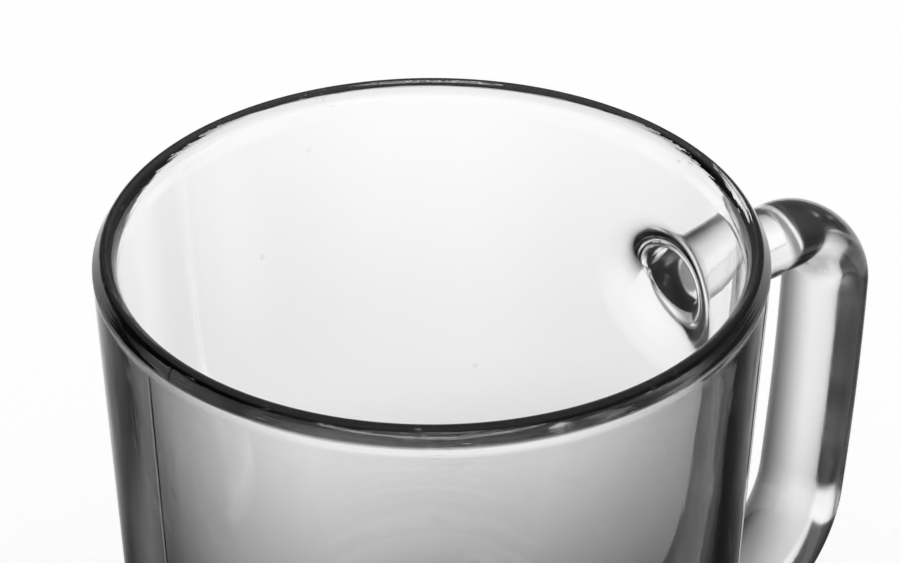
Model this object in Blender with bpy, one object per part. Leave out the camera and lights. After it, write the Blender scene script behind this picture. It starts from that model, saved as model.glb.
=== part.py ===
"""A clear glass beer mug: a thick-walled turned vessel and a bar handle that is fused to its side.

Metres, +Z up. The mug stands on z = 0 with its handle towards +X, and the origin is on the table,
under the middle of the box round the mug. Both pieces are drawn about the vessel's own axis and
hang on one empty, which moves that axis to its place in this frame.
"""

import math

import bmesh
import bpy
from mathutils import Vector

# Vessel: outside and wall
HEIGHT = 0.130
RIM_RADIUS = 0.0445  # outside, at the widest place just under the lip
OUTER_TAPER = math.radians(1.9)  # each side draws in downwards
INNER_TAPER = math.radians(2.3)  # more than outside, so the wall thickens downwards

# Vessel: lip, from its crest outwards and inwards
LIP_CREST = 0.00095  # radius over the top
LIP_SLANT = math.radians(31)  # outside, the lip slants down and out, this far from upright
LIP_CORNER = 0.0012  # radius where the slant meets the wall
LIP_OUTER = 0.0018  # crest to the widest place outside
LIP_INNER = 0.0015  # crest to the inside of the wall, along half an upright oval
LIP_INNER_DEPTH = 0.0026
BEAD = 0.00025  # inside, the wall is this much thicker at the lip
BEAD_DEPTH = 0.0025  # height over which that dies out

# Vessel: base
BASE_THICKNESS = 0.014
FLOOR_FILLET = 0.009  # inside, where the wall meets the floor
FOOT_FILLET = 0.004  # outside, where the wall meets the table
FOOT_WIDTH = 0.006  # flat ring that the mug stands on
FOOT_HOLLOW = 0.002  # rise of the shallow dome under the base

# Handle: where it leaves the vessel and how far it stands off
ARM_DROP = 0.0245  # lip to the middle of the upper arm
LEG_HEIGHT = 0.034  # table to the middle of the lower root
LEG_ANGLE = math.radians(69)  # lower leg, from straight down
FINGER_GAP = 0.0254  # lip to the inside of the grip, level with the arm

# Handle: bar sections, depth in the handle's plane and width across it
ARM_DEPTH = 0.0087
ARM_WIDTH = 0.0127
GRIP_DEPTH = 0.0096
GRIP_WIDTH = 0.0155

# Handle: bends of its middle line
CORNER_RADIUS = 0.0097
GRIP_BOW = math.radians(5)  # the grip leans in by this much from its top to its foot
BEND_RADIUS = 0.020

# Handle: the flare at each root, as it would be carried round a full quarter turn
FLARE_LENGTH = 0.006  # how far from the wall it starts
FLARE_DEPTH = 0.008  # how much it adds above and below
FLARE_WIDTH = 0.0073  # and on each side
FLARE_SAG = 0.002  # how far its middle sinks on the way to the wall
FLARE_SWEEP = math.radians(80)  # part of the quarter turn that is made, which keeps its edge from going thin

# Fused joint: the two solids stop this far short of each other
FUSE_GAP = 0.0003

# Fineness of the facets
TURN_STEPS = 96
OVAL_STEPS = 6
ROUND_STEPS = 4
BEAD_STEPS = 3
FILLET_STEPS = 6
HOLLOW_STEPS = 5
SECTION_STEPS = 32
CORNER_STEPS = 9
GRIP_STEPS = 8
BEND_STEPS = 10
FLARE_STEPS = 6
CAP_LOOPS = 4
SHARP_ANGLE = math.radians(60)  # edges past this stay crisp
WELD = 0.0001  # points this close to the axis become one

GLASS_COLOUR = (0.93, 0.94, 0.94)
GLASS_ROUGHNESS = 0.03
GLASS_IOR = 1.52

QUARTER = math.pi / 2
GRIP_OFFSET = RIM_RADIUS + FINGER_GAP + GRIP_DEPTH / 2  # axis to the grip's middle line, at its top
REACH = GRIP_OFFSET + GRIP_DEPTH / 2  # axis to the outermost point of the handle
AXIS_X = (RIM_RADIUS - REACH) / 2  # puts the box round the mug over the origin


def glass(name):
    """Clear polished glass, neutral in colour."""
    material = bpy.data.materials.new(name)
    material.use_nodes = True
    shader = material.node_tree.nodes["Principled BSDF"]
    shader.inputs["Base Color"].default_value = (*GLASS_COLOUR, 1)
    shader.inputs["Roughness"].default_value = GLASS_ROUGHNESS
    shader.inputs["Metallic"].default_value = 0
    shader.inputs["IOR"].default_value = GLASS_IOR
    shader.inputs["Transmission Weight"].default_value = 1
    return material


def add_piece(name, mesh, parent):
    """Puts a mesh in the scene as a piece of the mug, with glass of its own."""
    piece = bpy.data.objects.new(name, mesh)
    bpy.context.scene.collection.objects.link(piece)
    piece.parent = parent
    mesh.materials.append(glass(name + "_glass"))
    return piece


def ease(share):
    """Goes from 0 to 1 with a soft start and end."""
    return share * share * (3 - 2 * share)


def arc(centre, half_width, half_height, start, end, steps):
    """Points from one angle to another round an upright oval, both ends included."""
    points = []
    for step in range(steps + 1):
        angle = start + (end - start) * step / steps
        points.append((centre[0] + half_width * math.cos(angle), centre[1] + half_height * math.sin(angle)))
    return points


def lip_profile():
    """The lip's part of the half section: from the inside of the wall over the crest to its outside."""
    crest_x = RIM_RADIUS - LIP_OUTER
    inner_end = math.pi - math.atan(LIP_INNER_DEPTH / LIP_INNER * math.tan(INNER_TAPER))
    inner_centre = (crest_x, HEIGHT - LIP_INNER_DEPTH)
    crest_centre = (crest_x, HEIGHT - LIP_CREST)
    slant_x = LIP_OUTER - LIP_CREST * math.cos(LIP_SLANT) - LIP_CORNER * (1 - math.cos(LIP_SLANT))
    corner_drop = LIP_CREST * (1 - math.sin(LIP_SLANT)) + slant_x / math.tan(LIP_SLANT)
    corner_drop += LIP_CORNER * math.sin(LIP_SLANT)
    corner_centre = (RIM_RADIUS - LIP_CORNER, HEIGHT - corner_drop)
    profile = arc(inner_centre, LIP_INNER, LIP_INNER_DEPTH, inner_end, QUARTER, OVAL_STEPS)
    profile += arc(crest_centre, LIP_CREST, LIP_CREST, QUARTER, LIP_SLANT, ROUND_STEPS)[1:]
    profile += arc(corner_centre, LIP_CORNER, LIP_CORNER, LIP_SLANT, -OUTER_TAPER, ROUND_STEPS)
    return profile


def radius_at(z, point, taper):
    """Radius at a height of the tapered side that passes through a point of the half section."""
    return point[0] + (z - point[1]) * math.tan(taper)


def wall_radius(z):
    """Radius of the vessel's outside at a height."""
    return radius_at(z, lip_profile()[-1], OUTER_TAPER)


def vessel_profile():
    """Half section of the vessel: up the inside from the floor, over the lip, down to the underside."""
    lip = lip_profile()
    bead_top = lip[0]
    inner_point = (bead_top[0] + BEAD, bead_top[1])
    floor_z = BASE_THICKNESS + FLOOR_FILLET
    floor_x = radius_at(floor_z, inner_point, INNER_TAPER) - FLOOR_FILLET / math.cos(INNER_TAPER)
    foot_x = wall_radius(FOOT_FILLET) - FOOT_FILLET / math.cos(OUTER_TAPER)
    hollow_edge = foot_x - FOOT_WIDTH
    hollow_radius = (hollow_edge**2 + FOOT_HOLLOW**2) / (2 * FOOT_HOLLOW)
    hollow_from = QUARTER - math.asin(hollow_edge / hollow_radius)
    hollow_centre = (0.0, FOOT_HOLLOW - hollow_radius)
    profile = [(0.0, BASE_THICKNESS)]
    profile += arc((floor_x, floor_z), FLOOR_FILLET, FLOOR_FILLET, -QUARTER, -INNER_TAPER, FILLET_STEPS)
    for step in range(BEAD_STEPS):
        share = step / BEAD_STEPS
        z = bead_top[1] - BEAD_DEPTH * (1 - share)
        profile.append((radius_at(z, inner_point, INNER_TAPER) - BEAD * ease(share), z))
    profile += lip
    profile += arc((foot_x, FOOT_FILLET), FOOT_FILLET, FOOT_FILLET, -OUTER_TAPER, -QUARTER, FILLET_STEPS)
    profile += arc(hollow_centre, hollow_radius, hollow_radius, hollow_from, QUARTER, HOLLOW_STEPS)
    return profile


def add_vessel(parent):
    """The vessel: its half section turned once round the axis."""
    profile = vessel_profile()
    mesh = bpy.data.meshes.new("mug_body")
    edges = [(index, index + 1) for index in range(len(profile) - 1)]
    mesh.from_pydata([(radius, 0, z) for radius, z in profile], edges, [])
    vessel = add_piece("mug_body", mesh, parent)
    turn = vessel.modifiers.new("turned", "SCREW")
    turn.angle = 2 * math.pi
    turn.steps = TURN_STEPS
    turn.render_steps = TURN_STEPS
    turn.use_merge_vertices = True
    turn.merge_threshold = WELD
    turn.use_smooth_shade = True
    return vessel


def outwards(lean):
    """Direction square to the middle line, in the handle's plane and away from the fingers."""
    return Vector((math.cos(lean), 0, -math.sin(lean)))


def follow(start, lean_from, lean_to, length, steps):
    """Stations (place, lean) along an even bend of the middle line, without the first one."""
    stations = []
    turned = lean_to - lean_from
    for step in range(1, steps + 1):
        lean = lean_from + turned * step / steps
        across = length / turned * (math.cos(lean) - math.cos(lean_from))
        down = length / turned * (math.sin(lean_from) - math.sin(lean))
        stations.append((start + Vector((across, 0, down)), lean))
    return stations


def grip_length():
    """Length of the grip that brings the lower leg to the wall at LEG_HEIGHT.

    Across and down, the grip, the lower bend and the straight leg add up to the way from the end
    of the corner to the lower root. That gives two equations in the grip's and the leg's lengths.
    """
    across_per_grip = (1 - math.cos(GRIP_BOW)) / GRIP_BOW
    down_per_grip = math.sin(GRIP_BOW) / GRIP_BOW
    across = GRIP_OFFSET - wall_radius(LEG_HEIGHT)
    across -= BEND_RADIUS * (math.cos(GRIP_BOW) - math.cos(LEG_ANGLE))
    down = HEIGHT - ARM_DROP - CORNER_RADIUS - LEG_HEIGHT
    down -= BEND_RADIUS * (math.sin(LEG_ANGLE) - math.sin(GRIP_BOW))
    across_per_leg = math.sin(LEG_ANGLE)
    down_per_leg = math.cos(LEG_ANGLE)
    both = down_per_grip * across_per_leg - across_per_grip * down_per_leg
    return (down * across_per_leg - across * down_per_leg) / both


def section(place, lean, depth, width):
    """Points round the oval bar at a station, square to its middle line."""
    points = []
    for step in range(SECTION_STEPS):
        angle = 2 * math.pi * step / SECTION_STEPS
        in_plane = outwards(lean) * (depth / 2 * math.cos(angle))
        points.append(place + in_plane + Vector((0, width / 2 * math.sin(angle), 0)))
    return points


def root_loop(height, upwards, half_depth, half_width, stand_off):
    """An upright oval loop that follows the wall's curve, everywhere this far out from it."""
    loop = []
    for step in range(SECTION_STEPS):
        angle = 2 * math.pi * step / SECTION_STEPS
        y = half_width * math.sin(angle)
        z = height + upwards * half_depth * math.cos(angle)
        loop.append(Vector((math.sqrt(wall_radius(z) ** 2 - y * y) + stand_off, y, z)))
    return loop


def root_loops(height, rise, upwards, half_depth, half_width):
    """Loops from the start of a root's flare, out along it and in over its fused face, and its centre.

    The middle line rises by `rise` for each metre out from the wall. Each loop starts at its top
    where `upwards` is 1 and at its bottom where it is -1.
    """
    loops = []
    for step in range(FLARE_STEPS + 1):
        angle = FLARE_SWEEP * step / FLARE_STEPS
        spread = 1 - math.cos(angle)
        stand_off = FUSE_GAP + FLARE_LENGTH * (math.sin(FLARE_SWEEP) - math.sin(angle))
        middle = height + rise * stand_off - FLARE_SAG * spread
        edge_depth = half_depth + FLARE_DEPTH * spread
        edge_width = half_width + FLARE_WIDTH * spread
        loops.append(root_loop(middle, upwards, edge_depth, edge_width, stand_off))
    for step in range(1, CAP_LOOPS):
        share = 1 - step / CAP_LOOPS
        loops.append(root_loop(middle, upwards, edge_depth * share, edge_width * share, FUSE_GAP))
    return loops, Vector((wall_radius(middle) + FUSE_GAP, 0, middle))


def handle_loops():
    """Loops of the handle from the fused face of its arm to that of its leg, and both face centres."""
    arm_height = HEIGHT - ARM_DROP
    arm_end = Vector((GRIP_OFFSET - CORNER_RADIUS, 0, arm_height))
    arm_lean = -QUARTER
    corner = follow(arm_end, arm_lean, 0.0, CORNER_RADIUS * -arm_lean, CORNER_STEPS)
    grip = follow(corner[-1][0], 0.0, GRIP_BOW, grip_length(), GRIP_STEPS)
    bend = follow(grip[-1][0], GRIP_BOW, LEG_ANGLE, BEND_RADIUS * (LEG_ANGLE - GRIP_BOW), BEND_STEPS)
    leg_half_depth = GRIP_DEPTH / 2 / math.sin(LEG_ANGLE)  # the slanting leg, cut upright
    leg_rise = 1 / math.tan(LEG_ANGLE)

    arm_root, arm_centre = root_loops(arm_height, 0.0, 1, ARM_DEPTH / 2, ARM_WIDTH / 2)
    loops = arm_root[::-1]
    loops.append(section(arm_end, arm_lean, ARM_DEPTH, ARM_WIDTH))
    for step, (place, lean) in enumerate(corner, 1):
        share = ease(step / CORNER_STEPS)
        depth = ARM_DEPTH + (GRIP_DEPTH - ARM_DEPTH) * share
        width = ARM_WIDTH + (GRIP_WIDTH - ARM_WIDTH) * share
        loops.append(section(place, lean, depth, width))
    for place, lean in grip + bend:
        loops.append(section(place, lean, GRIP_DEPTH, GRIP_WIDTH))
    leg_root, leg_centre = root_loops(LEG_HEIGHT, leg_rise, -1, leg_half_depth, GRIP_WIDTH / 2)
    return loops + leg_root, (arm_centre, leg_centre)


def add_handle(parent):
    """The handle: an oval bar skinned from loop to loop and closed over its two fused faces."""
    loops, centres = handle_loops()
    shape = bmesh.new()
    rows = [[shape.verts.new(point) for point in loop] for loop in loops]
    for row, next_row in zip(rows, rows[1:]):
        for index in range(SECTION_STEPS):
            after = (index + 1) % SECTION_STEPS
            shape.faces.new((row[index], row[after], next_row[after], next_row[index]))
    for centre, row in zip(centres, (rows[0], rows[-1])):
        middle = shape.verts.new(centre)
        for index in range(SECTION_STEPS):
            shape.faces.new((middle, row[index], row[(index + 1) % SECTION_STEPS]))
    bmesh.ops.recalc_face_normals(shape, faces=shape.faces)
    mesh = bpy.data.meshes.new("handle")
    shape.to_mesh(mesh)
    shape.free()
    mesh.shade_smooth()
    mesh.set_sharp_from_angle(angle=SHARP_ANGLE)
    return add_piece("handle", mesh, parent)


for thing in list(bpy.data.objects):
    bpy.data.objects.remove(thing, do_unlink=True)

mug = bpy.data.objects.new("mug", None)
mug.location = (AXIS_X, 0, 0)
bpy.context.scene.collection.objects.link(mug)
add_vessel(mug)
add_handle(mug)
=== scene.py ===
"""Looks of a clear glass beer mug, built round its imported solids: the vessel, the handle and a white studio.

Metres, +Z up, in the frame of the solids: the mug stands on z = 0 with its handle towards +X.
"""

import math

import bmesh
import bpy
from mathutils import Matrix, Vector


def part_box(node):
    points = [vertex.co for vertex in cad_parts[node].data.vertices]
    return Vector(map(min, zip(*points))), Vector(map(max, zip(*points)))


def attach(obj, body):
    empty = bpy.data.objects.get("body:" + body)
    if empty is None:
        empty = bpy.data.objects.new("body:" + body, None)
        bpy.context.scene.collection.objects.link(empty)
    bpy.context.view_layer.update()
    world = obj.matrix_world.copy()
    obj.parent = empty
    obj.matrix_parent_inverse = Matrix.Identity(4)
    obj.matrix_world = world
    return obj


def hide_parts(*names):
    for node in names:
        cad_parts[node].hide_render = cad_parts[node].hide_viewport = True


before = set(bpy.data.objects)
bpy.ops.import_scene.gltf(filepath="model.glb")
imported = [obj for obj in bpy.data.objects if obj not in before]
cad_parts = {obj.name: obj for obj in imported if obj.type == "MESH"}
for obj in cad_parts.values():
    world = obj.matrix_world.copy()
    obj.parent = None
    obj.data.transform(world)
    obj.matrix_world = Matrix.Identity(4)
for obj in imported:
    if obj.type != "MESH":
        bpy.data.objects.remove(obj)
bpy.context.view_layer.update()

# Vessel: wall, lip, heavy base and foot are one piece of clear soda-lime glass, pressed in a two-part mould
# and fire-polished at the lip. Where the mould's halves meet, a fine raised line runs down the wall, opposite
# the handle. The vessel's half section is turned round its axis, with more steps near that line.
foot_corner, lip_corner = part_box("mug_body")
HEIGHT = lip_corner.z
RIM_RADIUS = (lip_corner.y - foot_corner.y) / 2
AXIS_X = (lip_corner.x + foot_corner.x) / 2
OUTER_TAPER = math.radians(1.9)
INNER_TAPER = math.radians(2.3)
BASE_THICKNESS = 0.014
FLOOR_FILLET = 0.009
FOOT_FILLET = 0.004
FOOT_WIDTH = 0.006
FOOT_HOLLOW = 0.002
LIP_CREST = 0.00095  # radius over the top of the lip
LIP_SLANT = math.radians(31)  # from the crest the lip slants down and out, this far from upright
LIP_CORNER = 0.0012  # radius where the slant meets the wall
LIP_OUTER = 0.0018  # from the crest out to the widest place
LIP_INNER = 0.0015  # from the crest in to the inside of the wall, half an upright oval
LIP_INNER_DEPTH = 0.0026
BEAD = 0.00025  # how much thicker the wall is at the lip
BEAD_DEPTH = 0.0025  # the thickening dies out over this height

STEPS_ROUND = 360
CROWDING = 0.85  # how far the steps draw together at the mould line, from 0 to 1
SEAM_RISE = 0.00005
SEAM_HALF_WIDTH = 0.00020
LIP_STEPS = 24
BEAD_STEPS = 14
FILLET_STEPS = 12
FLAT_STEPS = 6
WALL_STEP = 0.003
WELD = 0.000001
QUARTER = math.pi / 2


def arc(centre, half_width, half_height, start, end, steps):
    """Points from one angle to another round an upright oval, both ends included."""
    points = []
    for step in range(steps + 1):
        angle = start + (end - start) * step / steps
        points.append((centre[0] + half_width * math.cos(angle), centre[1] + half_height * math.sin(angle)))
    return points


def between(start, end, steps):
    """Points on a straight line, without its ends."""
    shares = [step / steps for step in range(1, steps)]
    return [(start[0] + (end[0] - start[0]) * k, start[1] + (end[1] - start[1]) * k) for k in shares]


def at_table(point, taper):
    """Radius that a sloping side through this point would have at the table."""
    return point[0] - point[1] * math.tan(taper)


def ease(share):
    """Goes from 0 to 1 with a soft start and end."""
    share = min(max(share, 0.0), 1.0)
    return share * share * (3 - 2 * share)


def lip_section():
    """The lip's part of the half section, from the inside over the crest to the outside."""
    sine, cosine = math.sin(LIP_SLANT), math.cos(LIP_SLANT)
    slant = LIP_OUTER - LIP_CREST * cosine - LIP_CORNER * (1 - cosine)
    drop = LIP_CREST * (1 - sine) + slant / math.tan(LIP_SLANT) + LIP_CORNER * sine
    crest_x = RIM_RADIUS - LIP_OUTER
    inner_end = math.pi - math.atan(LIP_INNER_DEPTH / LIP_INNER * math.tan(INNER_TAPER))
    inner_centre = (crest_x, HEIGHT - LIP_INNER_DEPTH)
    crest_centre = (crest_x, HEIGHT - LIP_CREST)
    corner_centre = (RIM_RADIUS - LIP_CORNER, HEIGHT - drop)
    points = arc(inner_centre, LIP_INNER, LIP_INNER_DEPTH, inner_end, QUARTER, LIP_STEPS)
    crest = arc(crest_centre, LIP_CREST, LIP_CREST, QUARTER, LIP_SLANT, LIP_STEPS)[1:]
    corner = arc(corner_centre, LIP_CORNER, LIP_CORNER, LIP_SLANT, -OUTER_TAPER, LIP_STEPS)
    return points + crest + between(crest[-1], corner[0], LIP_STEPS // 2) + corner


lip_arc = lip_section()
CORNER_TOP = lip_arc[-1 - LIP_STEPS][1]
CORNER_FOOT = lip_arc[-1][1]
WALL_SLOPE = math.tan(OUTER_TAPER)
WALL_AT_TABLE = at_table(lip_arc[-1], OUTER_TAPER)


def vessel_section():
    """Half section from the floor's centre, up the inside, over the lip and down to the underside's centre.

    Returns its points and, for each, whether it is on the sloping outside, where the mould line runs.
    """
    inner_slope = math.tan(INNER_TAPER)
    inner_at_table = at_table(lip_arc[0], INNER_TAPER) + BEAD
    floor_z = BASE_THICKNESS + FLOOR_FILLET
    floor_centre = (inner_at_table + floor_z * inner_slope - FLOOR_FILLET / math.cos(INNER_TAPER), floor_z)
    foot_x = WALL_AT_TABLE + FOOT_FILLET * WALL_SLOPE - FOOT_FILLET / math.cos(OUTER_TAPER)
    foot_centre = (foot_x, FOOT_FILLET)
    hollow_edge = foot_x - FOOT_WIDTH
    hollow_radius = (hollow_edge**2 + FOOT_HOLLOW**2) / (2 * FOOT_HOLLOW)
    hollow_from = QUARTER - math.asin(hollow_edge / hollow_radius)
    hollow_centre = (0.0, FOOT_HOLLOW - hollow_radius)
    middle = (0.0, BASE_THICKNESS)
    floor_arc = arc(floor_centre, FLOOR_FILLET, FLOOR_FILLET, -QUARTER, -INNER_TAPER, FILLET_STEPS)
    foot_arc = arc(foot_centre, FOOT_FILLET, FOOT_FILLET, -OUTER_TAPER, -QUARTER, FILLET_STEPS)
    hollow_arc = arc(hollow_centre, hollow_radius, hollow_radius, hollow_from, QUARTER, FILLET_STEPS)
    bead_top = lip_arc[0][1]
    bead_foot = (inner_at_table + (bead_top - BEAD_DEPTH) * inner_slope, bead_top - BEAD_DEPTH)
    inside = between(floor_arc[-1], bead_foot, round(HEIGHT / WALL_STEP)) + [bead_foot]
    for step in range(1, BEAD_STEPS):
        share = step / BEAD_STEPS
        z = bead_foot[1] + BEAD_DEPTH * share
        inside.append((inner_at_table + z * inner_slope - BEAD * ease(share), z))
    outside = between(lip_arc[-1], foot_arc[0], round(HEIGHT / WALL_STEP))
    foot = between(foot_arc[-1], hollow_arc[0], FLAT_STEPS)
    runs = (
        ([middle] + between(middle, floor_arc[0], FLAT_STEPS) + floor_arc + inside + lip_arc, 0.0),
        (outside, 1.0),
        (foot_arc + foot + hollow_arc, 0.0),
    )
    points = [point for run, _ in runs for point in run]
    on_outside = [flag for run, flag in runs for _ in run]
    return points, on_outside


class Nodes:
    """Short ways to add and wire the nodes of a tree."""

    def __init__(self, tree):
        self.tree = tree

    def put(self, socket, value):
        """Wires an input to another node's output, or sets it to a plain value. None leaves it alone."""
        if isinstance(value, bpy.types.NodeSocket):
            self.tree.links.new(value, socket)
        elif value is not None:
            socket.default_value = value

    def add(self, kind, *values, output=None, **settings):
        """Adds a node, sets its properties, fills its inputs in order and gives its named or first output."""
        made = self.tree.nodes.new(kind)
        for name, value in settings.items():
            setattr(made, name, value)
        sockets = [socket for socket in made.inputs if socket.enabled]
        for socket, value in zip(sockets, values):
            self.put(socket, value)
        if output:
            return made.outputs[output]
        return next(socket for socket in made.outputs if socket.enabled)

    def math(self, operation, *values):
        return self.add("ShaderNodeMath", *values, operation=operation)

    def vector(self, operation, *values, output="Vector"):
        return self.add("ShaderNodeVectorMath", *values, operation=operation, output=output)

    def parts(self, vector):
        """The x, y and z of a vector."""
        return self.add("ShaderNodeSeparateXYZ", vector).node.outputs


class Forming(Nodes):
    """The nodes of a Geometry Nodes tree that lays a grid over a mesh of driving points."""

    def __init__(self, name, inputs):
        super().__init__(bpy.data.node_groups.new(name, "GeometryNodeTree"))
        self.sockets = {}
        face = self.tree.interface
        face.new_socket("Geometry", in_out="OUTPUT", socket_type="NodeSocketGeometry")
        face.new_socket("Geometry", in_out="INPUT", socket_type="NodeSocketGeometry")
        for label, kind in inputs.items():
            self.sockets[label] = face.new_socket(label, in_out="INPUT", socket_type="NodeSocket" + kind)
        self.given = self.tree.nodes.new("NodeGroupInput").outputs

    def sample(self, kind, value, index):
        """A value of the driving point with this index."""
        given = self.given["Geometry"]
        return self.add("GeometryNodeSampleIndex", given, value, index, data_type=kind, domain="POINT")

    def named(self, kind, name):
        return self.add("GeometryNodeInputNamedAttribute", name, data_type=kind)

    def lattice(self, round_steps):
        """A grid, 1 by 1 about its middle, with a row for each driving point, and a place's turn and row."""
        given = self.given["Geometry"]
        rows = self.add("GeometryNodeAttributeDomainSize", given, component="MESH", output="Point Count")
        columns = self.math("ADD", round_steps, 1.0)
        grid = self.add("GeometryNodeMeshGrid", 1.0, 1.0, columns, rows)
        x, y, _ = self.parts(self.add("GeometryNodeInputPosition"))
        turn = self.math("MULTIPLY", self.math("ADD", x, 0.5), 2 * math.pi)
        last_row = self.math("SUBTRACT", rows, 1.0)
        row = self.math("ROUND", self.math("MULTIPLY", self.math("ADD", y, 0.5), last_row))
        return grid, turn, row

    def close(self, grid, place):
        """Moves the grid to its place, welds its meeting edges, shades it smooth and sets its material."""
        shape = self.add("GeometryNodeSetPosition", grid, None, place)
        shape = self.add("GeometryNodeMergeByDistance", shape, None, WELD)
        shape = self.add("GeometryNodeSetShadeSmooth", shape, None, True)
        shape = self.add("GeometryNodeRealizeInstances", shape)
        shape = self.add("GeometryNodeSetMaterial", shape, None, self.given["Material"])
        self.tree.links.new(shape, self.tree.nodes.new("NodeGroupOutput").inputs[0])


def grown(name, source, forming, values):
    """Runs a tree on a mesh of driving points and keeps the result as a plain mesh object."""
    carrier = bpy.data.objects.new(name + "_carrier", source)
    bpy.context.scene.collection.objects.link(carrier)
    modifier = carrier.modifiers.new("grown", "NODES")
    modifier.node_group = forming.tree
    for label, value in values.items():
        modifier[forming.sockets[label].identifier] = value
    graph = bpy.context.evaluated_depsgraph_get()
    mesh = bpy.data.meshes.new_from_object(carrier.evaluated_get(graph), depsgraph=graph)
    bpy.data.objects.remove(carrier)
    shape = bmesh.new()
    shape.from_mesh(mesh)
    bmesh.ops.recalc_face_normals(shape, faces=shape.faces)
    for face in shape.faces:
        face.material_index = 0  # the grid brings an empty first slot, which goes
    shape.to_mesh(mesh)
    shape.free()
    mesh.materials.clear()
    mesh.materials.append(values["Material"])
    mesh.name = name
    piece = bpy.data.objects.new(name, mesh)
    bpy.context.scene.collection.objects.link(piece)
    return piece


def turned_vessel():
    """The tree that turns a half section round the axis and raises the mould line on its outside."""
    forming = Forming(
        "turned_vessel",
        {
            "Steps round": "Int",
            "Crowding": "Float",
            "Seam rise": "Float",
            "Seam half width": "Float",
            "Axis x": "Float",
            "Material": "Material",
        },
    )
    given = forming.given
    grid, turn, row = forming.lattice(given["Steps round"])
    place = forming.sample("FLOAT_VECTOR", forming.add("GeometryNodeInputPosition"), row)
    radius, _, height = forming.parts(place)
    outside = forming.sample("FLOAT", forming.named("FLOAT", "outside"), row)
    crowd = forming.math("MULTIPLY", forming.math("SINE", turn), given["Crowding"])
    angle = forming.math("ADD", turn, crowd)
    x = forming.math("MULTIPLY", radius, forming.math("COSINE", angle))
    y = forming.math("MULTIPLY", radius, forming.math("SINE", angle))
    from_seam = forming.math("POWER", forming.math("DIVIDE", y, given["Seam half width"]), 2.0)
    seam = forming.math("EXPONENT", forming.math("MULTIPLY", from_seam, -1.0))
    seam = forming.math("MULTIPLY", seam, forming.math("LESS_THAN", x, 0.0))
    seam = forming.math("MULTIPLY", seam, forming.math("MULTIPLY", outside, given["Seam rise"]))
    x = forming.math("ADD", forming.math("SUBTRACT", x, seam), given["Axis x"])
    forming.close(grid, forming.add("ShaderNodeCombineXYZ", x, y, height))
    return forming


class Shading(Nodes):
    """The nodes of a material or of the room."""

    def product(self, *values):
        """All the values multiplied."""
        result = values[0]
        for value in values[1:]:
            result = self.math("MULTIPLY", result, value)
        return result

    def total(self, *values):
        """All the values added up."""
        result = values[0]
        for value in values[1:]:
            result = self.math("ADD", result, value)
        return result

    def rest(self, value):
        """What is left of 1."""
        return self.math("SUBTRACT", 1.0, value)

    def line(self, value, start, end, low, high):
        """Goes evenly from low to high while the value goes from start to end."""
        return self.add("ShaderNodeMapRange", value, start, end, low, high)

    def ramp(self, value, start, end, low, high):
        """The same with a soft start and end."""
        return self.add("ShaderNodeMapRange", value, start, end, low, high, interpolation_type="SMOOTHSTEP")

    def noise(self, place, waves, detail=2.0):
        """Soft noise about 0.5, with so many waves to the metre along x, y and z."""
        scaled = self.vector("MULTIPLY", place, waves)
        return self.add("ShaderNodeTexNoise", scaled, 1.0, detail, output="Fac")

    def bump(self, height):
        """A normal bent by a height in metres."""
        return self.add("ShaderNodeBump", 1.0, 1.0, None, height)


GLASS_IOR = 1.5
SLANT_FROM = 0.27  # painted shade: light that crosses the outside at more of a slant is held back, which draws the glass's dark edges
SLANT_TO = 0.58
VESSEL_EDGE_SHADE_PASS = 0.30  # what still passes at a slant
LIP_SLANT_TO = 0.75  # painted shade: on the lip more is held back from SLANT_TO on
LIP_PASS = 0.06
LIP_FACE_PASS = 0.65  # painted shade: what passes the lip's outer face head on
LIP_FACE_SLANT_PASS = 0.20  # and at a slant of LIP_FACE_TO or more
LIP_FACE_TO = 0.50
SPECKS = ((0.0005, 0.0406, 0.1063), (0.0089, 0.0402, 0.1213), (0.0291, 0.0269, 0.0828))  # from the axis
SPECK_RADIUS = 0.00055
SPECK_PASS = 0.90
RIPPLE_HEIGHT = 0.000010  # ripples that the mould draws down the wall
RIPPLE_WAVES = (800, 800, 25)  # waves to the metre along x, y and z, here and below
RIPPLE_PATCH_WAVES = (70, 70, 45)
RIPPLE_PATCH = (0.52, 0.66)  # noise levels where a patch begins and where it is full, here and below
RIPPLE_LEAST = 0.12
PEEL_HEIGHT = 0.000018  # orange peel, in patches
PEEL_WAVES = (900, 900, 500)
PEEL_PATCH_WAVES = (110, 110, 70)
PEEL_PATCH = (0.60, 0.72)
PEEL_SPOT = (-0.0437, -0.0075, 0.1220)  # from the axis: the peel is plainest beside the mould line
PEEL_SPOT_RADIUS = 0.0060
SWELL_HEIGHT = 0.000040  # slow waves of pressed glass
SWELL_WAVES = (80, 80, 40)
RING_HEIGHT = 0.000012  # rings that the lip's fire polish leaves
RING_WAVES = (5, 5, 4000)  # round the lip by its radius, and across it to the metre
SCRATCH_HEIGHT = 0.000020  # short scratches of wear along the lip
SCRATCH_WAVES = (18, 18, 9000)
SCRATCH_PATCH = (0.64, 0.76)
WEAR_WAVES = (60, 60, 60)
WEAR_PATCH = (0.48, 0.62)
WEAR_ROUGHNESS = 0.05
WALL_ROUGHNESS = 0.012  # where the wall's polish is dullest
WALL_DULL_WAVES = (150, 150, 90)
WALL_DULL_PATCH = (0.45, 0.75)


def clear_glass(name):
    """Starts a clear soda-lime glass. Gives the material, its node helper and its shader's sockets."""
    material = bpy.data.materials.new(name)
    material.use_nodes = True
    shader = material.node_tree.nodes["Principled BSDF"].inputs
    shader["IOR"].default_value = GLASS_IOR
    shader["Transmission Weight"].default_value = 1.0
    return material, Shading(material.node_tree), shader


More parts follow.
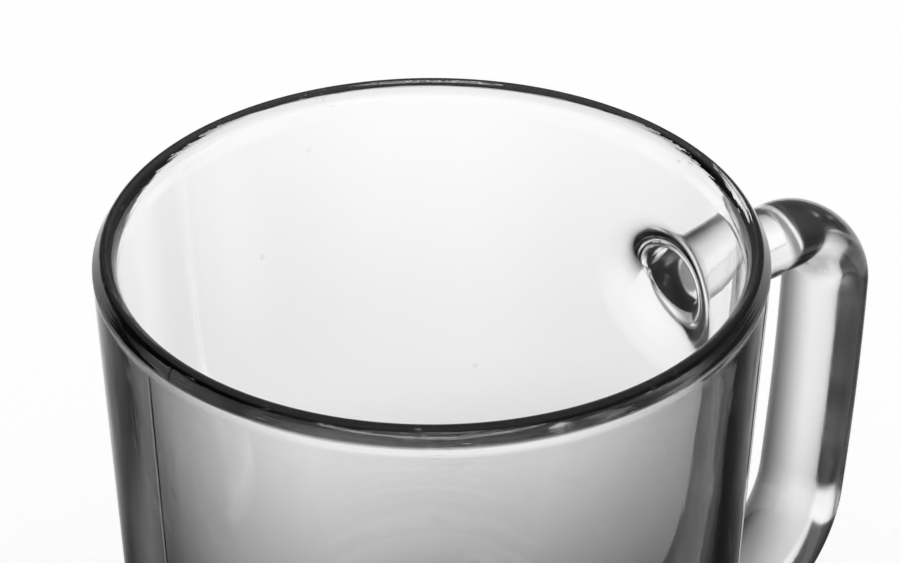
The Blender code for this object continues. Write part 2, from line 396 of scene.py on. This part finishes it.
def pressed_glass():
    """The vessel's glass: drawn ripples and patches of orange peel on the wall, rings and wear on the lip, and
    painted shade towards its edges and on the lip.
    """
    material, shade, shader = clear_glass("vessel_clear_glass")
    place = shade.add("ShaderNodeTexCoord", output="Object")
    place = shade.vector("SUBTRACT", place, (AXIS_X, 0.0, 0.0))
    level_place = shade.vector("MULTIPLY", place, (1.0, 1.0, 0.0))
    z = shade.vector("DOT_PRODUCT", place, (0.0, 0.0, 1.0), output="Value")
    radius = shade.vector("LENGTH", level_place, output="Value")
    lip = shade.ramp(z, HEIGHT - 2 * LIP_INNER_DEPTH, HEIGHT - LIP_INNER_DEPTH, 0.0, 1.0)
    below_lip = shade.rest(lip)

    # Painted shade: the colour darkens where the outside is seen at a slant, so that the glass gets dark
    # edges.
    facing = shade.add("ShaderNodeLayerWeight", output="Facing")
    wall = shade.math("MULTIPLY_ADD", z, WALL_SLOPE, WALL_AT_TABLE - LIP_CORNER)
    outside = shade.math("GREATER_THAN", radius, wall)
    slant = shade.line(facing, SLANT_FROM, SLANT_TO, 0.0, 1 - VESSEL_EDGE_SHADE_PASS)
    held = shade.rest(shade.product(slant, outside))
    # Painted shade on the lip: darker at a slant, and darker on its outer face.
    lip_top = shade.ramp(z, CORNER_FOOT, CORNER_TOP, 0.0, 1.0)
    lip_slant = shade.product(lip_top, shade.ramp(facing, SLANT_TO, LIP_SLANT_TO, 0.0, 1 - LIP_PASS))
    lip_face = shade.product(lip_top, shade.math("GREATER_THAN", radius, RIM_RADIUS - LIP_OUTER))
    face_slant = shade.line(facing, 0.0, LIP_FACE_TO, 1 - LIP_FACE_PASS, 1 - LIP_FACE_SLANT_PASS)
    lip_painted_shade = shade.product(shade.rest(lip_slant), shade.rest(shade.product(lip_face, face_slant)))
    for speck in SPECKS:
        off_speck = shade.vector("DISTANCE", place, speck, output="Value")
        held = shade.product(held, shade.ramp(off_speck, SPECK_RADIUS / 2, SPECK_RADIUS, SPECK_PASS, 1.0))
    # The colour carries the painted shade of the edges and the lip, and the specks.
    shade.put(shader["Base Color"], shade.math("POWER", shade.product(held, lip_painted_shade), 2.0))
    # Painted shade on the reflections too: the lip's reflections are dimmed by the same amount.
    shade.put(shader["Specular Tint"], lip_painted_shade)

    patches = shade.ramp(shade.noise(place, RIPPLE_PATCH_WAVES), *RIPPLE_PATCH, RIPPLE_LEAST, 1.0)
    ripples = shade.product(shade.noise(place, RIPPLE_WAVES), patches, RIPPLE_HEIGHT)
    off_spot = shade.vector("DISTANCE", place, PEEL_SPOT, output="Value")
    peel = shade.ramp(shade.noise(place, PEEL_PATCH_WAVES), *PEEL_PATCH, 0.0, PEEL_HEIGHT)
    peel_spot = shade.ramp(off_spot, PEEL_SPOT_RADIUS / 3, PEEL_SPOT_RADIUS, PEEL_HEIGHT, 0.0)
    peel = shade.math("MAXIMUM", peel, peel_spot)
    peel = shade.product(shade.noise(place, PEEL_WAVES), peel)
    swell = shade.product(shade.noise(place, SWELL_WAVES, 1.0), SWELL_HEIGHT)
    round_about = shade.vector("NORMALIZE", level_place)
    along = shade.add("ShaderNodeCombineXYZ", 0.0, 0.0, shade.math("SUBTRACT", radius, z))
    ring_place = shade.vector("ADD", round_about, along)
    rings = shade.product(shade.noise(ring_place, RING_WAVES), RING_HEIGHT)
    scratches = shade.ramp(shade.noise(ring_place, SCRATCH_WAVES, 1.0), *SCRATCH_PATCH, 0.0, SCRATCH_HEIGHT)
    wear = shade.ramp(shade.noise(place, WEAR_WAVES), *WEAR_PATCH, 0.0, 1.0)
    on_wall_height = shade.product(shade.total(ripples, peel, swell), below_lip)
    on_lip_height = shade.product(shade.total(rings, shade.product(scratches, wear)), lip)
    shade.put(shader["Normal"], shade.bump(shade.total(on_wall_height, on_lip_height)))
    dull = shade.ramp(shade.noise(place, WALL_DULL_WAVES), *WALL_DULL_PATCH, 0.0, WALL_ROUGHNESS)
    shade.put(shader["Roughness"], shade.total(dull, shade.product(lip, wear, WEAR_ROUGHNESS)))
    return material


section_points, outside_flags = vessel_section()
section_mesh = bpy.data.meshes.new("vessel_section")
section_mesh.from_pydata([(radius, 0.0, z) for radius, z in section_points], [], [])
section_mesh.attributes.new("outside", "FLOAT", "POINT").data.foreach_set("value", outside_flags)
vessel = grown(
    "mug_body_glass",
    section_mesh,
    turned_vessel(),
    {
        "Steps round": STEPS_ROUND,
        "Crowding": CROWDING,
        "Seam rise": SEAM_RISE,
        "Seam half width": SEAM_HALF_WIDTH,
        "Axis x": AXIS_X,
        "Material": pressed_glass(),
    },
)
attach(vessel, "root")
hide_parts("mug_body")

# Handle: a solid oval bar of the same glass, pressed by itself, with a flare at each root. Its upper arm
# stands square to the wall over the other mould line, the grip leans in a little, and the lower bend brings
# it back. It is skinned over oval loops along its middle line, with the root loops laid to the wall.
ARM_DROP = 0.0245
LEG_HEIGHT = 0.034
LEG_ANGLE = math.radians(69)
ARM_DEPTH = 0.0087
ARM_WIDTH = 0.0127
GRIP_DEPTH = 0.0096
GRIP_WIDTH = 0.0155
CORNER_RADIUS = 0.0097
GRIP_BOW = math.radians(5)
BEND_RADIUS = 0.020
FLARE_DEPTH = 0.0080
FLARE_WIDTH = 0.0073
FLARE_LENGTH = 0.006
FLARE_SAG = 0.0020
SKIRT = 0.0010  # the flare's thin edge, laid on the wall
GRIP_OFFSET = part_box("handle")[1].x - AXIS_X - GRIP_DEPTH / 2
ARM_LEAN = -QUARTER
LEG_HALF_DEPTH = GRIP_DEPTH / 2 / math.sin(LEG_ANGLE)  # the slanted leg, cut upright at the wall

POINTS_ROUND = 96
CORNER_STEPS = 40
GRIP_STEPS = 24
BEND_STEPS = 44
FLARE_STEPS = 24
SKIRT_STEPS = 3
JOINED_LOOPS = 4
FREE = -1.0  # stand-off of a loop that the wall doesn't shape
SHARP_FROM = math.radians(60)  # the thin edge of a flare stays sharp


def wall_radius(z):
    """Radius of the vessel's outside at a height."""
    return WALL_AT_TABLE + z * WALL_SLOPE


def outwards(lean):
    """Direction square to the bar's middle line, in the handle's plane and away from the fingers."""
    return Vector((math.cos(lean), 0.0, -math.sin(lean)))


def follow(start, lean_from, lean_to, length, steps):
    """Stations (place, lean) along an even bend of the middle line, without the first one."""
    stations = []
    turned = lean_to - lean_from
    for step in range(1, steps + 1):
        lean = lean_from + turned * step / steps
        across = length / turned * (math.cos(lean) - math.cos(lean_from))
        down = length / turned * (math.sin(lean_from) - math.sin(lean))
        stations.append((start + Vector((across, 0.0, down)), lean))
    return stations


def grip_length():
    """Length of the grip that brings the lower leg to the wall at LEG_HEIGHT."""
    across_per_grip = (1 - math.cos(GRIP_BOW)) / GRIP_BOW
    down_per_grip = math.sin(GRIP_BOW) / GRIP_BOW
    across = GRIP_OFFSET - wall_radius(LEG_HEIGHT)
    across -= BEND_RADIUS * (math.cos(GRIP_BOW) - math.cos(LEG_ANGLE))
    down = HEIGHT - ARM_DROP - CORNER_RADIUS - LEG_HEIGHT
    down -= BEND_RADIUS * (math.sin(LEG_ANGLE) - math.sin(GRIP_BOW))
    both = down_per_grip * math.sin(LEG_ANGLE) - across_per_grip * math.cos(LEG_ANGLE)
    return (down * math.sin(LEG_ANGLE) - across * math.cos(LEG_ANGLE)) / both


def root_stations(root_z, rise, side, half_depth, half_width):
    """Loops of a root, from the start of its flare to the middle of its joined face."""
    stations = []
    for step in range(FLARE_STEPS + 1):
        angle = QUARTER * step / FLARE_STEPS
        spread = 1 - math.cos(angle)
        stand_off = FLARE_LENGTH * (1 - math.sin(angle))
        place = Vector((0.0, 0.0, root_z + rise * stand_off - FLARE_SAG * spread))
        sizes = (half_depth + FLARE_DEPTH * spread, half_width + FLARE_WIDTH * spread)
        stations.append((place, side, *sizes, stand_off))
    edge = Vector((0.0, 0.0, root_z - FLARE_SAG))
    for step in range(1, SKIRT_STEPS + 1):
        spread = SKIRT * step / SKIRT_STEPS
        sizes = (half_depth + FLARE_DEPTH + spread, half_width + FLARE_WIDTH + spread)
        stations.append((edge, side, *sizes, 0.0))
    for step in range(1, JOINED_LOOPS + 1):
        share = 1 - step / JOINED_LOOPS
        sizes = ((half_depth + FLARE_DEPTH + SKIRT) * share, (half_width + FLARE_WIDTH + SKIRT) * share)
        stations.append((edge, side, *sizes, 0.0))
    return stations


def handle_stations():
    """Every loop of the handle: its place, its outward direction, its two half sizes and its stand-off."""
    arm_z = HEIGHT - ARM_DROP
    arm_end = Vector((GRIP_OFFSET - CORNER_RADIUS, 0.0, arm_z))
    corner = follow(arm_end, ARM_LEAN, 0.0, CORNER_RADIUS * -ARM_LEAN, CORNER_STEPS)
    grip = follow(corner[-1][0], 0.0, GRIP_BOW, grip_length(), GRIP_STEPS)
    bend = follow(grip[-1][0], GRIP_BOW, LEG_ANGLE, BEND_RADIUS * (LEG_ANGLE - GRIP_BOW), BEND_STEPS)
    arm_root = root_stations(arm_z, 0.0, outwards(ARM_LEAN), ARM_DEPTH / 2, ARM_WIDTH / 2)
    leg_rise = 1 / math.tan(LEG_ANGLE)
    leg_root = root_stations(LEG_HEIGHT, leg_rise, Vector((0, 0, -1)), LEG_HALF_DEPTH, GRIP_WIDTH / 2)

    stations = arm_root[::-1]
    stations.append((arm_end, outwards(ARM_LEAN), ARM_DEPTH / 2, ARM_WIDTH / 2, FREE))
    for step, (place, lean) in enumerate(corner, 1):
        share = ease(step / CORNER_STEPS)
        depth = ARM_DEPTH + (GRIP_DEPTH - ARM_DEPTH) * share
        width = ARM_WIDTH + (GRIP_WIDTH - ARM_WIDTH) * share
        stations.append((place, outwards(lean), depth / 2, width / 2, FREE))
    for place, lean in grip + bend:
        stations.append((place, outwards(lean), GRIP_DEPTH / 2, GRIP_WIDTH / 2, FREE))
    return stations + leg_root


def station_mesh(stations):
    """The stations as loose points that carry their sizes."""
    mesh = bpy.data.meshes.new("handle_stations")
    mesh.from_pydata([station[0] for station in stations], [], [])
    flat = [number for station in stations for number in station[1]]
    mesh.attributes.new("outward", "FLOAT_VECTOR", "POINT").data.foreach_set("vector", flat)
    for index, name in enumerate(("half_depth", "half_width", "stand_off"), 2):
        numbers = [station[index] for station in stations]
        mesh.attributes.new(name, "FLOAT", "POINT").data.foreach_set("value", numbers)
    return mesh


def oval_bar():
    """The tree that draws an oval loop at each station, lays the root loops to the wall and skins them."""
    forming = Forming(
        "oval_bar",
        {
            "Points round": "Int",
            "Wall at table": "Float",
            "Wall slope": "Float",
            "Axis x": "Float",
            "Material": "Material",
        },
    )
    given = forming.given
    grid, turn, row = forming.lattice(given["Points round"])
    place = forming.sample("FLOAT_VECTOR", forming.add("GeometryNodeInputPosition"), row)
    side = forming.sample("FLOAT_VECTOR", forming.named("FLOAT_VECTOR", "outward"), row)
    half_depth = forming.sample("FLOAT", forming.named("FLOAT", "half_depth"), row)
    half_width = forming.sample("FLOAT", forming.named("FLOAT", "half_width"), row)
    stand_off = forming.sample("FLOAT", forming.named("FLOAT", "stand_off"), row)
    reach = forming.math("MULTIPLY", half_depth, forming.math("COSINE", turn))
    in_plane = forming.vector("SCALE", side, reach)
    x, _, z = forming.parts(forming.vector("ADD", place, in_plane))
    y = forming.math("MULTIPLY", half_width, forming.math("SINE", turn))
    radius = forming.math("MULTIPLY_ADD", z, given["Wall slope"], given["Wall at table"])
    squares = forming.math("SUBTRACT", forming.math("POWER", radius, 2.0), forming.math("POWER", y, 2.0))
    wall_x = forming.math("ADD", forming.math("SQRT", squares), stand_off)
    at_wall = forming.math("GREATER_THAN", stand_off, FREE / 2)
    x = forming.math("MULTIPLY_ADD", at_wall, forming.math("SUBTRACT", wall_x, x), x)
    x = forming.math("ADD", x, given["Axis x"])
    forming.close(grid, forming.add("ShaderNodeCombineXYZ", x, y, z))
    return forming


# Painted shade: what still passes where the bar is seen at a slant, which draws its dark edges.
HANDLE_EDGE_SHADE_PASS = 0.60
BAR_SWELL_HEIGHT = 0.00006  # the bar isn't quite even: slow waves and a fine peel
BAR_SWELL_WAVES = (120, 120, 60)
BAR_PEEL_HEIGHT = 0.000004
BAR_PEEL_WAVES = (900, 900, 900)
BAR_ROUGHNESS = (0.08, 0.14)
BAR_DULL_WAVES = (200, 200, 120)
BAR_DULL_PATCH = (0.3, 0.7)


def bar_glass():
    """The handle's glass: softer than the vessel's, with slow waves along the bar, a fine peel and painted
    shade towards its edges.
    """
    material, shade, shader = clear_glass("handle_clear_glass")
    place = shade.add("ShaderNodeTexCoord", output="Object")
    facing = shade.add("ShaderNodeLayerWeight", output="Facing")
    # Painted shade: the bar's colour darkens where it is seen at a slant.
    held = shade.line(facing, SLANT_FROM, SLANT_TO, 1.0, HANDLE_EDGE_SHADE_PASS)
    shade.put(shader["Base Color"], shade.math("POWER", held, 2.0))
    swell = shade.product(shade.noise(place, BAR_SWELL_WAVES, 1.0), BAR_SWELL_HEIGHT)
    peel = shade.product(shade.noise(place, BAR_PEEL_WAVES), BAR_PEEL_HEIGHT)
    shade.put(shader["Normal"], shade.bump(shade.total(swell, peel)))
    dull = shade.ramp(shade.noise(place, BAR_DULL_WAVES), *BAR_DULL_PATCH, *BAR_ROUGHNESS)
    shade.put(shader["Roughness"], dull)
    return material


handle = grown(
    "handle_glass",
    station_mesh(handle_stations()),
    oval_bar(),
    {
        "Points round": POINTS_ROUND,
        "Wall at table": WALL_AT_TABLE,
        "Wall slope": WALL_SLOPE,
        "Axis x": AXIS_X,
        "Material": bar_glass(),
    },
)
handle.data.set_sharp_from_angle(angle=SHARP_FROM)
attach(handle, "root")
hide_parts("handle")

# Joints: both roots are stuck to the wall while the glass is hot, so it runs on from one piece into the
# other. The wall is redrawn round each root, with a loop that meets the root's edge, and the two faces that
# lie together inside that loop let all light through.
ROOTS = (  # height, half depth and half width of the bar at each root
    (HEIGHT - ARM_DROP, ARM_DEPTH / 2, ARM_WIDTH / 2),
    (LEG_HEIGHT, LEG_HALF_DEPTH, GRIP_WIDTH / 2),
)
NEAR_WALL = 0.0004  # a face this close to the wall's outside is part of it
WINDOW_MARGIN = 0.0022  # how far the wall's own grid is opened round a joint
WINDOW_LOOPS = 3
WINDOW_SPREAD = 0.06  # how much wider than the joint the outermost of these loops is
JOINED_SLOT = 1


def joined_face():
    """The face where two pieces of glass are fused: it lets light run on and has no look of its own."""
    material = bpy.data.materials.new("joined_face")
    material.use_nodes = True
    material.node_tree.nodes["Principled BSDF"].inputs["Alpha"].default_value = 0.0
    return material


def on_wall(y, z):
    """The point of the vessel's outside, on the handle's side, at this y and z."""
    return Vector((AXIS_X + math.sqrt(wall_radius(z) ** 2 - y * y), y, z))


def open_joint(shape, root_z, half_depth, half_width):
    """Redraws the wall round a root, with a loop that meets the root's edge and the joined face inside it."""
    inside = []
    for face in shape.faces:
        middle = face.calc_center_median()
        off_wall = math.hypot(middle.x - AXIS_X, middle.y) - wall_radius(middle.z)
        in_width = abs(middle.y) < half_width + WINDOW_MARGIN
        in_depth = abs(middle.z - root_z) < half_depth + WINDOW_MARGIN
        if middle.x > AXIS_X and in_width and in_depth and abs(off_wall) < NEAR_WALL:
            inside.append(face)
    bmesh.ops.delete(shape, geom=inside, context="FACES")
    edges = [edge for edge in shape.edges if len(edge.link_faces) == 1]
    scales = [1 + WINDOW_SPREAD * step / WINDOW_LOOPS for step in range(WINDOW_LOOPS, 0, -1)]
    scales += [1 - step / JOINED_LOOPS for step in range(JOINED_LOOPS)]
    row = []
    for scale in scales:
        next_row = []
        for point in range(POINTS_ROUND):
            angle = 2 * math.pi * point / POINTS_ROUND
            y = half_width * scale * math.sin(angle)
            next_row.append(shape.verts.new(on_wall(y, root_z + half_depth * scale * math.cos(angle))))
        for index in range(len(row)):
            corners = (row[index - 1], row[index], next_row[index], next_row[index - 1])
            shape.faces.new(corners).material_index = JOINED_SLOT if scale < 1 else 0
        if not row:
            pairs = [(next_row[index - 1], next_row[index]) for index in range(POINTS_ROUND)]
            edges += [shape.edges.new(pair) for pair in pairs]
        row = next_row
    bmesh.ops.bridge_loops(shape, edges=edges)
    centre = shape.verts.new(on_wall(0.0, root_z))
    for index in range(len(row)):
        shape.faces.new((row[index - 1], row[index], centre)).material_index = JOINED_SLOT


joined = joined_face()
vessel.data.materials.append(joined)
handle.data.materials.append(joined)
for face in handle.data.polygons:
    middle = face.center
    if math.hypot(middle.x - AXIS_X, middle.y) < wall_radius(middle.z) + WELD and face.normal.x < 0:
        face.material_index = JOINED_SLOT

shape = bmesh.new()
shape.from_mesh(vessel.data)
for root_z, half_depth, half_width in ROOTS:
    joint = (half_depth + FLARE_DEPTH + SKIRT, half_width + FLARE_WIDTH + SKIRT)
    open_joint(shape, root_z - FLARE_SAG, *joint)
bmesh.ops.recalc_face_normals(shape, faces=shape.faces)
for face in shape.faces:
    face.smooth = True
shape.to_mesh(vessel.data)
shape.free()

# The redrawn wall keeps the normals of the even cone, so that its new faces don't show.
normals = [vertex.normal.copy() for vertex in vessel.data.vertices]
for vertex in vessel.data.vertices:
    x, y, z = vertex.co - Vector((AXIS_X, 0.0, 0.0))
    if x > 0 and z > FOOT_FILLET and abs(math.hypot(x, y) - wall_radius(z)) < 2 * WELD:
        normals[vertex.index] = Vector((x, y, -math.hypot(x, y) * WALL_SLOPE)).normalized()
vessel.data.normals_split_custom_set_from_vertices(normals)

# Camera: a long lens above the lip, on the side away from the handle, as in the photograph. Its place is
# given from the vessel's axis and from the lip's height, and its turns from the level line to that axis.
CAMERA_AZIMUTH = math.radians(232.24)
CAMERA_DISTANCE = 0.33395
CAMERA_RISE = 0.20773
CAMERA_YAW = math.radians(0.412)
CAMERA_PITCH = math.radians(32.746)
CAMERA_ROLL = math.radians(0.167)
LENS_MM = 120.0

towards_axis = CAMERA_AZIMUTH + math.pi - CAMERA_YAW
ahead = Vector((
    math.cos(towards_axis) * math.cos(CAMERA_PITCH),
    math.sin(towards_axis) * math.cos(CAMERA_PITCH),
    -math.sin(CAMERA_PITCH),
))
level_right = ahead.cross(Vector((0, 0, 1))).normalized()
level_up = level_right.cross(ahead)
right = level_right * math.cos(CAMERA_ROLL) + level_up * math.sin(CAMERA_ROLL)
up = level_up * math.cos(CAMERA_ROLL) - level_right * math.sin(CAMERA_ROLL)
camera = bpy.data.objects.new("camera", bpy.data.cameras.new("camera"))
camera.data.lens = LENS_MM
camera.matrix_world = Matrix((right, up, -ahead)).transposed().to_4x4()
camera.location = (
    AXIS_X + CAMERA_DISTANCE * math.cos(CAMERA_AZIMUTH),
    CAMERA_DISTANCE * math.sin(CAMERA_AZIMUTH),
    HEIGHT + CAMERA_RISE,
)
bpy.context.scene.collection.objects.link(camera)
bpy.context.scene.camera = camera

# Table: a plain sheet of white paper with a fine tooth, laid flat under the mug. The camera and the glass see
# it lifted to white, and it keeps the mug's shadow.
TABLE_HALF = 2.0
TABLE_Z = -0.0002
LIFT = 0.425
FIBRE_WAVES = (700, 700, 700)
FIBRE_DETAIL = 4.0
FIBRE_NOISE = (0.25, 0.75)
PAPER_WHITE = (0.785, 0.815)
PAPER_ROUGHNESS = (0.95, 0.85)
PAPER_HEIGHT = 0.00003
PURE_WHITE = (1.0, 1.0, 1.0, 1.0)


def stage_sheet(name, half, z, turn):
    """A flat square under the mug's middle. Gives its object and its material's node helper."""
    corners = [(-half, -half, 0), (half, -half, 0), (half, half, 0), (-half, half, 0)]
    mesh = bpy.data.meshes.new(name)
    mesh.from_pydata(corners, [], [(0, 1, 2, 3)])
    sheet = bpy.data.objects.new(name, mesh)
    sheet.location = (AXIS_X, 0.0, z)
    sheet.rotation_euler.z = turn
    bpy.context.scene.collection.objects.link(sheet)
    material = bpy.data.materials.new(name)
    material.use_nodes = True
    mesh.materials.append(material)
    return sheet, Shading(material.node_tree)


_, shade = stage_sheet("table", TABLE_HALF, TABLE_Z, 0.0)
paper = shade.tree.nodes["Principled BSDF"].inputs
path = shade.add("ShaderNodeLightPath").node.outputs
seen = shade.math("MAXIMUM", path["Is Camera Ray"], path["Is Glossy Ray"])
seen = shade.math("MAXIMUM", seen, path["Is Transmission Ray"])
fibres = shade.noise(shade.add("ShaderNodeTexCoord", output="Object"), FIBRE_WAVES, FIBRE_DETAIL)
shade.put(paper["Base Color"], shade.ramp(fibres, *FIBRE_NOISE, *PAPER_WHITE))
shade.put(paper["Roughness"], shade.ramp(fibres, *FIBRE_NOISE, *PAPER_ROUGHNESS))
shade.put(paper["Normal"], shade.bump(shade.product(fibres, PAPER_HEIGHT)))
shade.put(paper["Emission Color"], PURE_WHITE)
shade.put(paper["Emission Strength"], shade.product(seen, LIFT))

# Mat: a black sheet of painted shade laid on the table. Only the glass sees it, and it draws the dark edges
# that clear glass needs on white. It is open in a fan behind the mug, less so in front and in a pale patch at
# each side, and it lets low rays and steep rays through, so that the glass looks clear from the side and from
# above.
MAT_HALF = 0.45
MAT_Z = -0.0001
# The mat's black is painted shade, seen only in the glass.
PAINTED_SHADE_BLACK = (0.01, 0.01, 0.01, 1.0)
PAINTED_SHADE_ROUGHNESS = 0.9
SIDES_BLEND = 0.040  # the left side goes over into the right side within this distance of the middle
FAN_APEX = 0.0125  # the light fans out from this far behind the axis
FAN_LEFT = (math.radians(25), math.radians(57))  # where the fan starts to darken, and where it is dark
FAN_RIGHT = (math.radians(26), math.radians(60))
FAN_FRONT = (math.radians(115), math.radians(168))
DARK_LEFT = 0.08  # how open the mat stays beside the fan
DARK_RIGHT = 0.03
FRONT_OPEN = 0.62
PATCHES = ((-0.130, 0.050, 0.042, 0.36), (0.165, 0.000, 0.070, 0.40))  # across, behind, radius, how open
OUTER_EDGE = (0.240, 0.450)  # the painted shade thins out to nothing over these distances
PAINTED_SHADOW_FROM = (0.030, 0.046)  # painted shadow of the mug: under the mug the sheet is whole, here it starts to open, at left and right
PAINTED_SHADOW_TO = (0.157, 0.173)  # and here it has opened to the level on the next line
PAINTED_SHADOW_OPEN = 0.89
WIDE = (0.160, 0.280)  # over these distances it opens a little more
WIDE_OPEN = 0.12
LOW_RAYS = (0.54, 0.62)  # 1 less the sine of a ray's slope: above the first a ray begins to pass
STEEP_RAYS = (0.02, 0.07)  # and below the second it does too

mat, shade = stage_sheet("mat", MAT_HALF, MAT_Z, CAMERA_AZIMUTH + QUARTER)
mat.visible_camera = False
mat.visible_diffuse = False
mat.visible_shadow = False
spot = shade.add("ShaderNodeTexCoord", output="Object")
across, behind, _ = shade.parts(spot)
far = shade.vector("LENGTH", spot, output="Value")
on_right = shade.ramp(across, -SIDES_BLEND, SIDES_BLEND, 0.0, 1.0)


def left_to_right(left, right):
    """A value that goes over from the mat's left side to its right side."""
    return shade.math("MULTIPLY_ADD", on_right, right - left, left)


turn = shade.math("ARCTAN2", shade.math("ABSOLUTE", across), shade.math("SUBTRACT", behind, FAN_APEX))
fan = [left_to_right(left, right) for left, right in zip(FAN_LEFT, FAN_RIGHT)]
opening = shade.ramp(turn, *fan, 1.0, left_to_right(DARK_LEFT, DARK_RIGHT))
opening = shade.total(opening, shade.ramp(turn, *FAN_FRONT, 0.0, FRONT_OPEN))
outer = shade.ramp(far, *OUTER_EDGE, 0.0, 1.0)
opening = shade.math("MULTIPLY_ADD", outer, shade.rest(opening), opening)
for patch_across, patch_behind, radius, level in PATCHES:
    distance = shade.vector("DISTANCE", spot, (patch_across, patch_behind, 0.0), output="Value")
    opening = shade.total(opening, shade.ramp(distance, 0.0, radius, level, 0.0))
# Painted shadow of the mug: the mat stays closed round the foot and opens further out.
near = shade.ramp(far, left_to_right(*PAINTED_SHADOW_FROM), left_to_right(*PAINTED_SHADOW_TO), 0.0, PAINTED_SHADOW_OPEN)
wide = shade.ramp(far, *WIDE, 0.0, WIDE_OPEN)
opening = shade.product(opening, shade.total(near, wide))
facing = shade.add("ShaderNodeLayerWeight", output="Facing")
low = shade.ramp(facing, *LOW_RAYS, 0.0, 1.0)
steep = shade.ramp(facing, *STEEP_RAYS, 1.0, 0.0)
opening = shade.math("MAXIMUM", shade.math("MAXIMUM", opening, low), steep)
# Painted shade: black where the mat is closed, clear where it is open.
painted_shade = shade.add("ShaderNodeBsdfDiffuse", PAINTED_SHADE_BLACK, PAINTED_SHADE_ROUGHNESS)
clear = shade.add("ShaderNodeBsdfTransparent")
surface = shade.add("ShaderNodeMixShader", opening, painted_shade, clear)
shade.put(shade.tree.nodes["Material Output"].inputs["Surface"], surface)

# Room: plain walls under a bright ceiling, which light the glass from all round. The wall at the left is
# darker, and to the camera the whole room is white.
CEILING = (0.3, 1.0)  # how far up a direction points where the ceiling begins, and where it is brightest
WALL_LIGHT = 0.30
CEILING_LIGHT = 1.10
LEFT_WALL = (0.55, 0.90)  # how far leftwards it points where the wall starts to darken, and where it is dark
LEFT_WALL_SHARE = 0.20

world = bpy.data.worlds.new("room")
bpy.context.scene.world = world
world.use_nodes = True
shade = Shading(world.node_tree)
direction = shade.add("ShaderNodeTexCoord", output="Generated")
_, _, rise = shade.parts(direction)
leftwards = shade.vector("DOT_PRODUCT", direction, tuple(-level_right), output="Value")
light = shade.ramp(rise, *CEILING, WALL_LIGHT, CEILING_LIGHT)
light = shade.product(light, shade.ramp(leftwards, *LEFT_WALL, 1.0, LEFT_WALL_SHARE))
to_camera = shade.add("ShaderNodeLightPath", output="Is Camera Ray")
background = shade.tree.nodes["Background"].inputs
shade.put(background["Color"], PURE_WHITE)
shade.put(background["Strength"], shade.math("MULTIPLY_ADD", to_camera, shade.rest(light), light))

bpy.context.scene.view_settings.view_transform = "Standard"
